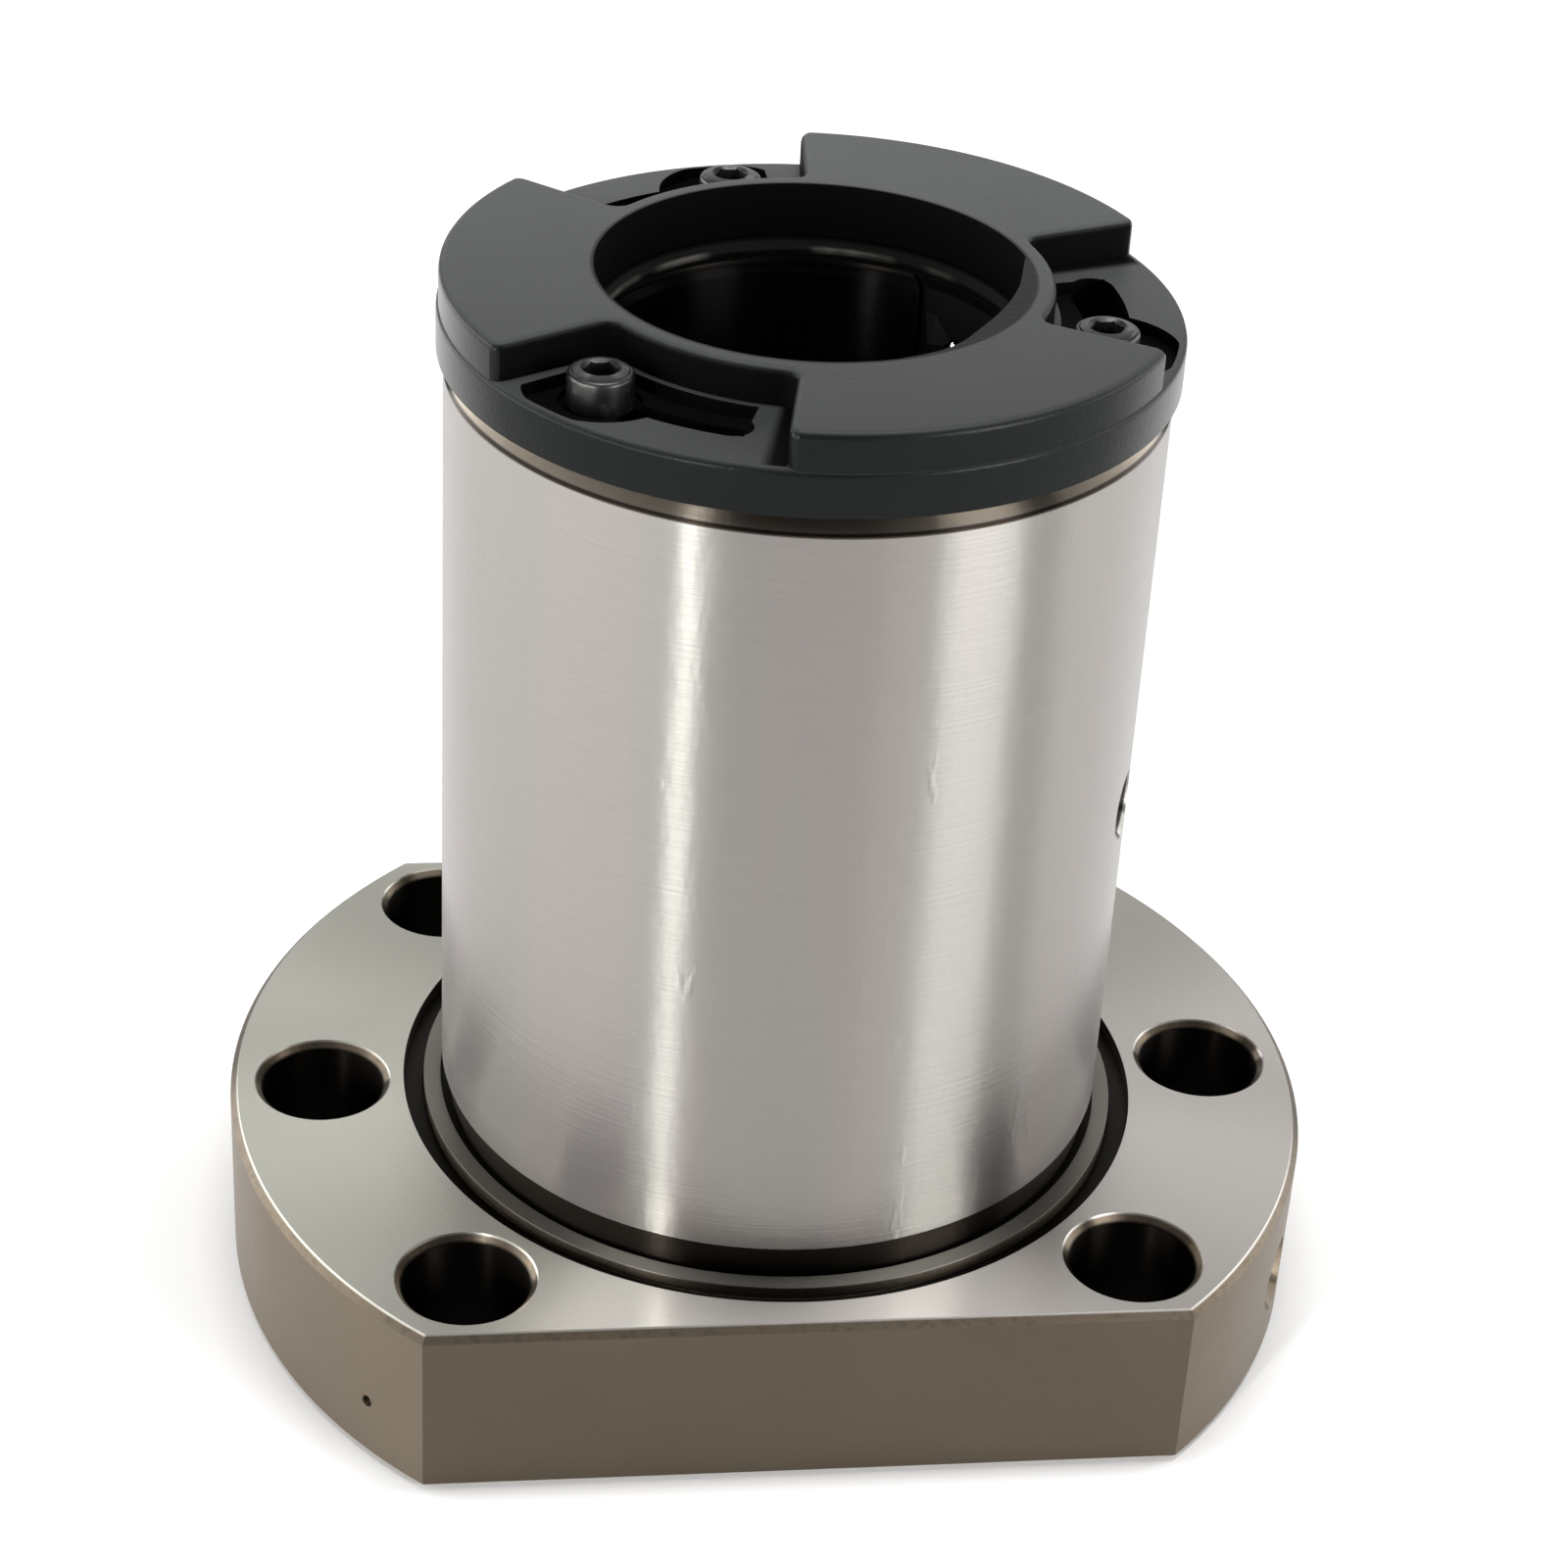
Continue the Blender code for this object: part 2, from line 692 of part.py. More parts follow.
def ball_train(name, centres):
    """Row of touching steel balls, fused where each meets the next, from (centre, direction) pairs."""
    steel = finish(f"{name}_steel", (0.70, 0.70, 0.70), 1.0, 0.12)
    shoulder = ball_radius * sin(ball_shoulder)
    shoulder_radius = ball_radius * cos(ball_shoulder)
    neck = sqrt(ball_radius ** 2 - (ball_pitch / 2) ** 2)
    tip = ball_radius * 0.95
    tip_radius = sqrt(ball_radius ** 2 - tip ** 2)
    rings = []
    for i, (centre, ahead, side) in enumerate(centres):
        if i == 0:
            rings.append((centre - ahead * tip, ahead, side, tip_radius))
        else:
            before, before_ahead, _ = centres[i - 1]
            rings.append(((before + centre) / 2, (before_ahead + ahead).normalized(), side, neck))
        rings.append((centre - ahead * shoulder, ahead, side, shoulder_radius))
        rings.append((centre + ahead * shoulder, ahead, side, shoulder_radius))
    centre, ahead, side = centres[-1]
    rings.append((centre + ahead * tip, ahead, side, tip_radius))
    make_object(name, loft([ring_around(*ring, ball_sides) for ring in rings]), steel)


def track_trains():
    """Balls in the track, in one train for each turn or part of a turn."""
    turn_length = hypot(2 * pi * track_radius, lead)
    length = track_turns * turn_length
    trains = ceil(track_turns)
    count = floor((length - trains * seat_gap - trains * (ball_diameter - ball_pitch)) / ball_pitch)
    shares = [count // trains + (1 if i < count % trains else 0) for i in range(trains)]
    spare = (length - sum(train_length(share) for share in shares)) / trains
    run = spare / 2
    for number, share in enumerate(shares):
        centres = []
        for i in range(share):
            travelled = run + ball_radius + i * ball_pitch
            centre = track_point(track_bottom + travelled / turn_length * lead)
            angle = thread_angle(centre.z)
            ahead = Vector((-sin(angle), cos(angle), lead / (2 * pi * track_radius))).normalized()
            centres.append((centre, ahead, circle_point(1.0, angle)))
        ball_train(f"ball_train_turn_{number + 1}", centres)
        run += train_length(share) + spare


def return_trains():
    """Balls in the two bends of the return and in the drilled passage between them."""
    upper = return_path()
    flip = turn_over(return_angle(), (track_top + track_bottom) / 2)
    lower = [flip @ point for point in reversed(upper)]
    side = circle_point(1.0, return_angle())
    runs = {"outer_bend": upper, "passage": [upper[-1], lower[0]], "flange_bend": lower}
    for name, line in runs.items():
        length = sum((b - a).length for a, b in zip(line, line[1:]))
        count = balls_that_fit(length)
        first = (length - train_length(count)) / 2 + ball_radius
        centres = [(*along(line, first + i * ball_pitch), side) for i in range(count)]
        ball_train(f"ball_train_{name}", centres)


def along(line, distance):
    """Point and direction at a distance along a line of points."""
    for a, b in zip(line, line[1:]):
        step = (b - a).length
        if distance <= step or b is line[-1]:
            ahead = (b - a).normalized()
            return a + ahead * distance, ahead
        distance -= step


clear_scene()
nut_body()
for cap_end, cap_place in cap_places().items():
    end_cap(cap_end, cap_place)
    wiper(cap_end, cap_place)
    deflector(cap_end)
    for screw_number, screw_turn in enumerate(cap_screw_angles()):
        cap_screw(cap_end, screw_number + 1, screw_turn, cap_place)
track_trains()
return_trains()
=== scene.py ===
"""Studio picture of a flanged ball screw nut that stands on its flange."""

from math import acos, asin, atan2, ceil, cos, floor, hypot, pi, radians, sin, sqrt

import bmesh
import bpy
from mathutils import Matrix, Vector


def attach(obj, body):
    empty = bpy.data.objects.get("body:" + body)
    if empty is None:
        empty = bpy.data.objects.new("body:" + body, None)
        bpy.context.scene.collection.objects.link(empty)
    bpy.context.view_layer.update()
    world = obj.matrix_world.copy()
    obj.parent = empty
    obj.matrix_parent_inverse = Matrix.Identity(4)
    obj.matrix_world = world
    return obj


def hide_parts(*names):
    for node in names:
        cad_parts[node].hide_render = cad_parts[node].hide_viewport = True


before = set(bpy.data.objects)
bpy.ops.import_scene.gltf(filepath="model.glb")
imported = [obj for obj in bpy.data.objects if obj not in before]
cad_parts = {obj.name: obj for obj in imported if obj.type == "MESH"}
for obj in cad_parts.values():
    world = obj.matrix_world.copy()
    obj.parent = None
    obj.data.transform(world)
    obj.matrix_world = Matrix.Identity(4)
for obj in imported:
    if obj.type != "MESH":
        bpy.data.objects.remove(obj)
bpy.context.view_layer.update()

MM = 0.001
scene = bpy.context.scene

# The camera looks down on the nut from the front and a little from the left, as the photograph
# does. It stands 189 mm from the middle of the nut and is rolled by a few degrees.
camera_turn = radians(-8.2)
camera_rise = radians(31.5)
camera_roll = radians(3.42)
camera_distance = 189.1 * MM
camera_target = Vector((0, 0, 28.55 * MM))
focal_length = 82.1

back = Vector((sin(camera_turn) * cos(camera_rise), -cos(camera_turn) * cos(camera_rise),
               sin(camera_rise)))
level = Vector((cos(camera_turn), sin(camera_turn), 0))
above = back.cross(level)
right = cos(camera_roll) * level + sin(camera_roll) * above
top = cos(camera_roll) * above - sin(camera_roll) * level
camera_data = bpy.data.cameras.new("camera")
camera_data.lens = focal_length
camera_data.sensor_width = 36.0
camera_data.clip_start = 0.01
camera = bpy.data.objects.new("camera", camera_data)
camera.matrix_world = Matrix.Translation(camera_target + back * camera_distance) @ Matrix(
    (right, top, back)).transposed().to_4x4()
scene.collection.objects.link(camera)
scene.camera = camera
scene.view_settings.view_transform = "Standard"


# White floor and plain soft studio light. Lit screens stand round the nut: a narrow one on the left
# and a wider one on the right show as the two streaks in the ground steel, and four paler ones fill
# in between and behind them. One lamp hangs overhead and lights the flange and the caps.
room = bpy.data.worlds.new("room")
scene.world = room
room.use_nodes = True
room.node_tree.nodes["Background"].inputs["Color"].default_value = (1.0, 1.0, 1.0, 1.0)
room.node_tree.nodes["Background"].inputs["Strength"].default_value = 0.14

# Each screen has its heading in degrees as seen from the nut, its distance, the height of its lower
# edge, its width and height in metres, and the brightness of its face.
screens = {
    "strip_lamp": (-129.2, 0.70, 0.01, 0.036, 0.40, 60.0),
    "right_lamp": (-42.0, 0.70, 0.01, 0.29, 0.40, 12.0),
    "soft_screen": (-62.0, 0.70, 0.01, 0.26, 0.35, 1.2),
    "left_screen": (175.0, 0.70, 0.01, 1.60, 0.35, 5.6),
    "right_screen": (12.0, 0.75, 0.01, 0.75, 0.35, 3.9),
    "rear_screen": (84.0, 0.80, 0.05, 0.80, 0.80, 1.1),
}
for name, (heading, distance, foot, width, height, brightness) in screens.items():
    lamp_data = bpy.data.lights.new(name, "AREA")
    lamp_data.shape = "RECTANGLE"
    lamp_data.size = width
    lamp_data.size_y = height
    lamp_data.energy = brightness * width * height * pi
    lamp = bpy.data.objects.new(name, lamp_data)
    toward = Vector((cos(radians(heading)), sin(radians(heading)), 0))
    lamp.location = toward * distance + Vector((0, 0, foot + height / 2))
    lamp.rotation_euler = toward.to_track_quat("Z", "Y").to_euler()
    scene.collection.objects.link(lamp)

overhead_data = bpy.data.lights.new("overhead_lamp", "AREA")
overhead_data.shape = "RECTANGLE"
overhead_data.size = 0.60
overhead_data.size_y = 0.14
overhead_brightness = 20.5
overhead_data.energy = overhead_brightness * overhead_data.size * overhead_data.size_y * pi
overhead = bpy.data.objects.new("overhead_lamp", overhead_data)
overhead.location = (0.06, 0.03, 0.85)
scene.collection.objects.link(overhead)

floor_size = 6.0
sheet = bmesh.new()
bmesh.ops.create_grid(sheet, x_segments=1, y_segments=1, size=floor_size / 2)
floor_mesh = bpy.data.meshes.new("floor")
sheet.to_mesh(floor_mesh)
sheet.free()
floor_object = bpy.data.objects.new("floor", floor_mesh)
scene.collection.objects.link(floor_object)
paper = bpy.data.materials.new("white_paper")
paper.use_nodes = True
sheet_shader = paper.node_tree.nodes["Principled BSDF"]
sheet_shader.inputs["Base Color"].default_value = (0.83, 0.83, 0.83, 1.0)
sheet_shader.inputs["Roughness"].default_value = 0.9
sheet_shader.inputs["Specular IOR Level"].default_value = 0.0
floor_mesh.materials.append(paper)


# Steel cylinder of the nut: turned in one piece with the flange, hardened and ground outside, with
# a grinding relief at its root and a chamfer at its end. The Gothic arch of the ball track, the
# slots of the deflectors and the drilled ball return are cut inside it.
nut_length = 58.0 * MM
body_radius = 18.0 * MM
flange_radius = 29.5 * MM
flange_thickness = 10.0 * MM
seat_gap = 0.3 * MM
cap_thickness = 4.2 * MM
cap_seat = 4.7 * MM
steel_length = nut_length - cap_thickness - seat_gap
overcut = 1.0 * MM
ball_radius = 1.5875 * MM
ball_pitch = 0.985 * 2 * ball_radius
lead = 10.0 * MM
land_radius = 10.6 * MM
track_radius = 10.25 * MM
passage_radius = ball_radius + 0.2 * MM
return_radius = (body_radius + land_radius) / 2
half_gap = acos(track_radius / return_radius)
track_turns = 3 + 1 - half_gap / pi
track_top = steel_length - 4.5 * MM
track_bottom = track_top - track_turns * lead
tongue_angle = radians(332.0)


def polar(radius, angle, height=0.0):
    return Vector((radius * cos(angle), radius * sin(angle), height))


def thread_angle(height):
    """Angle of the middle of the screw's groove at a height."""
    return tongue_angle + 2 * pi * (height - nut_length) / lead


def turn_over(angle, height):
    """Half turn about a level line through the axis, which leaves the thread as it was."""
    lift = Matrix.Translation((0, 0, height))
    return lift @ Matrix.Rotation(pi, 4, polar(1.0, angle)) @ lift.inverted()


def settle(shape):
    """Merge points that fall together, and turn all faces outwards."""
    bmesh.ops.remove_doubles(shape, verts=shape.verts[:], dist=2e-6)
    bmesh.ops.dissolve_degenerate(shape, dist=2e-6, edges=shape.edges[:])
    bmesh.ops.recalc_face_normals(shape, faces=shape.faces[:])
    return shape


def spun(profile, steps):
    """Spin a closed profile of (radius, height) points about the Z axis."""
    shape = bmesh.new()
    corners = [shape.verts.new((radius, 0, height)) for radius, height in profile]
    edges = [shape.edges.new(pair) for pair in zip(corners, corners[1:] + corners[:1])
             if pair[0].co.x > 0 or pair[1].co.x > 0]
    bmesh.ops.spin(shape, geom=corners + edges, cent=(0, 0, 0), axis=(0, 0, 1), angle=2 * pi,
                   steps=steps, use_merge=True)
    bmesh.ops.remove_doubles(shape, verts=shape.verts[:], dist=1e-7)
    bmesh.ops.recalc_face_normals(shape, faces=shape.faces[:])
    return shape


def plate(outline, low, high, corners=(), corner_round=0.0):
    """Upright plate over a level outline, with the named corners of the outline rounded."""
    shape = bmesh.new()
    points = [shape.verts.new((x, y, low)) for x, y in outline]
    face = shape.faces.new(points)
    if corners:
        bmesh.ops.bevel(shape, geom=[points[i] for i in corners], offset=corner_round,
                        offset_type="OFFSET", segments=4, profile=0.5, affect="VERTICES",
                        material=-1)
    raised = bmesh.ops.extrude_face_region(shape, geom=shape.faces[:])["geom"]
    lifted = [item for item in raised if isinstance(item, bmesh.types.BMVert)]
    bmesh.ops.translate(shape, verts=lifted, vec=(0, 0, high - low))
    bmesh.ops.recalc_face_normals(shape, faces=shape.faces[:])
    return shape


def bar(start, end, radius, steps, flare=0.0):
    """Round bar between two points, which flares to a chamfer at its start."""
    ahead = (end - start).normalized()
    stations = [(0.0, radius), ((end - start).length, radius)]
    if flare:
        stations = [(-overcut, radius + flare + overcut), (flare, radius), stations[-1]]
    turn = ahead.to_track_quat("Z", "Y").to_matrix().to_4x4()
    profile = [(0, stations[0][0])] + [(r, z) for z, r in stations] + [(0, stations[-1][0])]
    shape = spun(profile, steps)
    bmesh.ops.transform(shape, matrix=Matrix.Translation(start) @ turn, verts=shape.verts[:])
    return shape


def raw_object(name, shape):
    mesh = bpy.data.meshes.new(name)
    shape.to_mesh(mesh)
    shape.free()
    item = bpy.data.objects.new(name, mesh)
    scene.collection.objects.link(item)
    return item


def carve(item, tools, operation="DIFFERENCE"):
    """Cut or join a row of shapes into an object, one after another, for good."""
    cutters = [raw_object("cutter", tool) for tool in tools]
    for cutter in cutters:
        modifier = item.modifiers.new("carve", "BOOLEAN")
        modifier.operation = operation
        modifier.solver = "EXACT"
        modifier.object = cutter
    evaluated = item.evaluated_get(bpy.context.evaluated_depsgraph_get())
    mesh = bpy.data.meshes.new_from_object(evaluated)
    item.modifiers.clear()
    item.data = mesh
    shape = bmesh.new()
    shape.from_mesh(mesh)
    bmesh.ops.remove_doubles(shape, verts=shape.verts[:], dist=2e-7)
    shape.to_mesh(mesh)
    shape.free()
    for cutter in cutters:
        bpy.data.objects.remove(cutter, do_unlink=True)
    return item


def dress(item, material, slot, *nodes, crease=30.0):
    """Give a finished piece its material and hide the nodes that it stands for; the slot is not
    used.
    """
    item.data.materials.clear()
    item.data.materials.append(material)
    item.data.shade_smooth()
    item.data.set_sharp_from_angle(angle=radians(crease))
    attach(item, "root")
    if nodes:
        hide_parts(*nodes)
    flatten = item.modifiers.new("flat_faces", "WEIGHTED_NORMAL")
    flatten.keep_sharp = True
    return item


class Wire:
    """An output of a node, so that shader maths is written as plain Python."""

    def __init__(self, tree, socket=None):
        self.tree = tree
        self.socket = socket

    def node(self, kind, *values, output=0, settings=None, **named):
        """Add a node, set it up, give its inputs their values or links, and return one output."""
        node = self.tree.nodes.new(kind)
        for name, value in (settings or {}).items():
            setattr(node, name, value)
        slots = [(node.inputs[i], value) for i, value in enumerate(values)]
        slots += [(node.inputs[name.replace("_", " ")], value) for name, value in named.items()]
        for slot, value in slots:
            if isinstance(value, Wire):
                self.tree.links.new(value.socket, slot)
            elif value is not None:
                slot.default_value = value
        return Wire(self.tree, node.outputs[output]) if node.outputs else None

    def maths(self, operation, *values):
        return self.node("ShaderNodeMath", *values, settings={"operation": operation})

    def blend(self, low, high):
        """Colour that runs from low, where this is 0, to high, where this is 1."""
        low, high = [c if isinstance(c, Wire) else (*c, 1.0) for c in (low, high)]
        mixer = self.tree.nodes.new("ShaderNodeMix")
        mixer.data_type = "RGBA"
        self.tree.links.new(self.socket, mixer.inputs[0])
        for slot, colour in ((mixer.inputs[6], low), (mixer.inputs[7], high)):
            if isinstance(colour, Wire):
                self.tree.links.new(colour.socket, slot)
            else:
                slot.default_value = colour
        return Wire(self.tree, mixer.outputs[2])

    def step(self, low, high):
        """0 below low, 1 above high, and smooth between them."""
        return self.node("ShaderNodeMapRange", self, low, high,
                         settings={"interpolation_type": "SMOOTHSTEP"})

    def __add__(self, other):
        return self.maths("ADD", self, other)

    def __sub__(self, other):
        return self.maths("SUBTRACT", self, other)

    def __rsub__(self, other):
        return self.maths("SUBTRACT", other, self)

    def __mul__(self, other):
        return self.maths("MULTIPLY", self, other)

    def __truediv__(self, other):
        return self.maths("DIVIDE", self, other)

    __radd__ = __add__


def new_finish(name, **constants):
    """Material whose shader has these constants, with the wire that its nodes start from."""
    material = bpy.data.materials.new(name)
    material.use_nodes = True
    shader = material.node_tree.nodes["Principled BSDF"]
    for socket, value in constants.items():
        shader.inputs[socket.replace("_", " ")].default_value = value
    return material, shader, Wire(material.node_tree)


def feed(shader, socket, wire):
    wire.tree.links.new(wire.socket, shader.inputs[socket])


def axes(wire):
    """X, Y and Z of a point of the piece, and its distance from the screw axis, in millimetres."""
    place = wire.node("ShaderNodeTexCoord", output=3)
    split = wire.node("ShaderNodeSeparateXYZ", place)
    x, y, z = [Wire(wire.tree, split.socket.node.outputs[i]) * (1 / MM) for i in range(3)]
    radius = wire.maths("SQRT", x * x + y * y)
    return place, x, y, z, radius


def noise(wire, place, scale, detail=3.0, stretch=(1.0, 1.0, 1.0)):
    """Soft noise between 0 and 1, with a scale in cells per metre, stretched along the axes."""
    spread = wire.node("ShaderNodeMapping", place, Scale=stretch)
    return wire.node("ShaderNodeTexNoise", Vector=spread, Scale=scale, Detail=detail,
                     Roughness=0.55)


def new_lobe(wire, **constants):
    """Another principled shader in the same material."""
    lobe = wire.tree.nodes.new("ShaderNodeBsdfPrincipled")
    for socket, value in constants.items():
        lobe.inputs[socket.replace("_", " ")].default_value = value
    return Wire(wire.tree, lobe.outputs[0])


def cover(wire, share, under, over):
    """Mix a share of one shader over another, and show the mix."""
    both = wire.node("ShaderNodeMixShader", share, under, over)
    wire.tree.links.new(both.socket, wire.tree.nodes["Material Output"].inputs["Surface"])
    return both


def polish(shader, wire, share, roughness, colour, relief):
    """Add a share of smoother brushed steel, which makes the streaks in the grain sharper."""
    lobe = new_lobe(wire, Metallic=1.0, Roughness=roughness, Anisotropic=0.95,
                    Anisotropic_Rotation=0.25)
    feed(lobe.socket.node, "Base Color", colour)
    feed(lobe.socket.node, "Normal", relief)
    cover(wire, share, Wire(wire.tree, shader.outputs[0]), lobe)


def groove_section(steps=5):
    """Gothic arch of the ball track with its root inside the bore, as (radius, height)."""
    arc = 0.55 * 2 * ball_radius + 0.2 * MM
    offset = (0.55 * 2 * ball_radius - ball_radius) / sqrt(2)
    middle = track_radius - offset
    apex = asin(offset / arc)
    lip = acos((land_radius - 0.4 * MM - middle) / arc)
    upper = []
    for i in range(steps + 1):
        turn = apex + (lip - apex) * i / steps
        upper.append((middle + arc * cos(turn), arc * sin(turn) - offset))
    return [(radius, -height) for radius, height in reversed(upper[1:])] + upper


def track_cutter(steps_per_turn=90):
    """Ball track as a helical sweep of its section."""
    shape = bmesh.new()
    start = Matrix.Rotation(thread_angle(track_bottom), 4, "Z")
    section = [shape.verts.new(start @ Vector((radius, 0, track_bottom + height)))
               for radius, height in groove_section()]
    face = shape.faces.new(section)
    steps = round(track_turns * steps_per_turn)
    bmesh.ops.spin(shape, geom=[face], cent=(0, 0, 0), axis=(0, 0, 1), angle=2 * pi * track_turns,
                   dvec=(0, 0, track_turns * lead / steps), steps=steps, use_merge=False)
    bmesh.ops.recalc_face_normals(shape, faces=shape.faces[:])
    return shape


def deflector_outline(margin):
    """Plan of a deflector: a bar along the tangent of the track with a round outer end."""
    start = polar(track_radius, thread_angle(track_top)).to_2d()
    end = polar(return_radius, thread_angle(track_top) + half_gap).to_2d()
    ahead = (end - start).normalized()
    side = Vector((-ahead.y, ahead.x))
    half = passage_radius + 0.4 * MM + margin
    rear = start - ahead * (ball_radius / 2 + margin)
    turns = [-pi / 2 + pi * i / 16 for i in range(17)]
    return [rear + side * half, rear - side * half] + [
        end + half * (cos(t) * ahead + sin(t) * side) for t in turns]


return_angle = thread_angle(track_top) + half_gap
track_flip = turn_over(return_angle, (track_top + track_bottom) / 2)
relief_radius = body_radius - 0.4 * MM
relief_top = flange_thickness + 1.72 * MM
end_chamfer = 0.8 * MM
mouth_chamfer = 0.35 * MM
cylinder = raw_object("ground_cylinder", spun([
    (land_radius, cap_seat),
    (relief_radius, cap_seat),
    (relief_radius, relief_top - (body_radius - relief_radius)),
    (body_radius, relief_top),
    (body_radius, steel_length - end_chamfer),
    (body_radius - end_chamfer, steel_length),
    (land_radius + mouth_chamfer, steel_length),
    (land_radius, steel_length - mouth_chamfer),
], 240))
deflector_depth = 4.0 * MM
slot_floor = track_top - deflector_depth - seat_gap
outer_slot = plate(deflector_outline(seat_gap), slot_floor, steel_length + overcut)
flange_slot_end = track_top + track_bottom - cap_seat + overcut
flange_slot = plate(deflector_outline(seat_gap), slot_floor, flange_slot_end)
bmesh.ops.transform(flange_slot, matrix=track_flip, verts=flange_slot.verts[:])
bmesh.ops.recalc_face_normals(flange_slot, faces=flange_slot.faces[:])
passage = bar(polar(return_radius, return_angle, track_bottom + deflector_depth),
              polar(return_radius, return_angle, track_top - deflector_depth), passage_radius, 32)
side_hole_angle = radians(-21.0)
side_hole_height = 31.0 * MM
side_hole_radius = 1.5 * MM
side_hole_depth = 2.4 * MM
side_hole = bar(polar(body_radius, side_hole_angle, side_hole_height),
                polar(body_radius - side_hole_depth, side_hole_angle, side_hole_height),
                side_hole_radius, 32, flare=0.4 * MM)
carve(cylinder, [track_cutter(), outer_slot, flange_slot, passage, side_hole])

ground_steel, shader, wire = new_finish("ground_steel", Metallic=1.0, Roughness=0.34,
                                        Anisotropic=1.0, Anisotropic_Rotation=0.25)
place, x, y, z, radius = axes(wire)
lines = noise(wire, place, 60.0, 2.0, (1.0, 1.0, 90.0))
clouds = noise(wire, place, 90.0, 3.0, (1.0, 1.0, 0.5))
tint = noise(wire, place, 210.0, 1.0, (1.0, 1.0, 0.04))
# Inside the bore the steel is painted near black, as painted shade.
bore = 1 - radius.step(10.9, 11.6)
tone = tint.step(0.4, 0.6).blend((0.305, 0.299, 0.273), (0.328, 0.300, 0.285))
tone = (lines * 0.3).blend(tone, (0.262, 0.247, 0.232))
relief_end = relief_top / MM
# The grinding relief at the root is painted near black: painted shade over its browner unground
# steel.
root = 1 - z.step(relief_end - 0.22, relief_end)
chamfer_start = (steel_length - end_chamfer) / MM
past_edge = z.step(chamfer_start + 0.08, chamfer_start + 0.18)
# A thin dark line at the foot of the end chamfer is a painted shadow of the cap.
edge_line = z.step(chamfer_start - 0.15, chamfer_start - 0.05) * (1 - past_edge)
end_face = z.step(chamfer_start + 0.08, chamfer_start + 0.2)
tone = root.blend(tone, (0.030, 0.024, 0.019))
tone = end_face.blend(tone, (0.24, 0.205, 0.165))
tone = edge_line.blend(tone, (0.045, 0.036, 0.028))
beside = y * cos(side_hole_angle) - x * sin(side_hole_angle)
over = z - side_hole_height / MM
from_hole = wire.maths("SQRT", beside * beside + over * over)
hole_rim = side_hole_radius / MM + 0.16
# The side hole and its chamfer are painted dark, as painted shade.
in_side_hole = (1 - from_hole.step(hole_rim, hole_rim + 0.1)) * x.step(8.0, 9.0)
tone = in_side_hole.blend(tone, (0.02, 0.018, 0.017))
tone = bore.blend(tone, (0.016, 0.0145, 0.0155))
feed(shader, "Base Color", tone)
feed(shader, "Roughness", 0.31 + lines * 0.05)
waves = noise(wire, place, 420.0, 3.0, (1.0, 1.0, 0.35))
scuffs = noise(wire, place, 760.0, 2.0, (1.0, 1.0, 0.3)).step(0.64, 0.74) * clouds.step(0.42, 0.6)
height = lines * 0.5 + waves + scuffs * 0.3
relief = wire.node("ShaderNodeBump", Height=height, Strength=0.12, Distance=0.0002)
feed(shader, "Normal", relief)
polish(shader, wire, 0.42, 0.19, tone, relief)
dress(cylinder, ground_steel, "ground_steel", "nut_body")


# Flange: turned with the cylinder from one bar, milled flat on two sides, and drilled with six
# chamfered holes. Its face has a ridge and a ring groove round the cylinder's root.
flats_half = 22.0 * MM
edge_chamfer = 0.4 * MM
bolt_circle_radius = flange_radius - 5.0 * MM
bolt_hole_radius = 3.3 * MM
groove_inner = body_radius + 0.98 * MM
groove_outer = groove_inner + 1.12 * MM
groove_floor = flange_thickness - 0.8 * MM
recess_radius = 18.65 * MM
inner_radius = 17.0 * MM
root_groove_radius = 18.08 * MM
root_groove_depth = 0.35 * MM
port_radius = 1.75 * MM
port_height = 4.5 * MM
port_end = 23.5 * MM
dimple_radius = 0.32 * MM

blank = bmesh.new()
bmesh.ops.create_circle(blank, cap_ends=True, radius=flange_radius, segments=360)
raised = bmesh.ops.extrude_face_region(blank, geom=blank.faces[:])["geom"]
bmesh.ops.translate(blank, verts=[v for v in raised if isinstance(v, bmesh.types.BMVert)],
                    vec=(0, 0, flange_thickness))
for side in (-1, 1):
    cut = bmesh.ops.bisect_plane(blank, geom=blank.verts[:] + blank.edges[:] + blank.faces[:],
                                 plane_co=(0, side * flats_half, 0), plane_no=(0, side, 0),
                                 clear_outer=True, dist=1e-7)["geom_cut"]
    bmesh.ops.contextual_create(blank, geom=[e for e in cut if isinstance(e, bmesh.types.BMEdge)])
bmesh.ops.recalc_face_normals(blank, faces=blank.faces[:])
rims = [e for e in blank.edges if abs(e.verts[0].co.z - e.verts[1].co.z) < 1e-7]
bmesh.ops.bevel(blank, geom=rims, offset=edge_chamfer, offset_type="OFFSET", segments=1,
                profile=0.5, affect="EDGES", material=-1)
settle(blank)
flange = raw_object("flange", blank)
bolt_angles = [radians(degrees) for degrees in (-45, 0, 45, 135, 180, 225)]
tools = [
    spun([(0, -overcut), (recess_radius, -overcut), (recess_radius, cap_seat),
          (inner_radius, cap_seat), (inner_radius, flange_thickness + overcut),
          (0, flange_thickness + overcut)], 240),
    spun([(groove_inner + 0.1 * MM, groove_floor), (groove_outer - 0.05 * MM, groove_floor),
          (groove_outer, groove_floor + 0.1 * MM), (groove_outer, flange_thickness + overcut),
          (groove_inner, flange_thickness + overcut),
          (groove_inner, groove_floor + 0.1 * MM)], 240),
    spun([(0, flange_thickness - root_groove_depth),
          (root_groove_radius, flange_thickness - root_groove_depth),
          (root_groove_radius, flange_thickness + overcut), (0, flange_thickness + overcut)], 240),
]
for angle in bolt_angles:
    mouth = polar(bolt_circle_radius, angle, flange_thickness)
    foot = polar(bolt_circle_radius, angle, -overcut)
    tools.append(bar(mouth, foot, bolt_hole_radius, 72, flare=edge_chamfer))
port_angle = radians(-25.0)
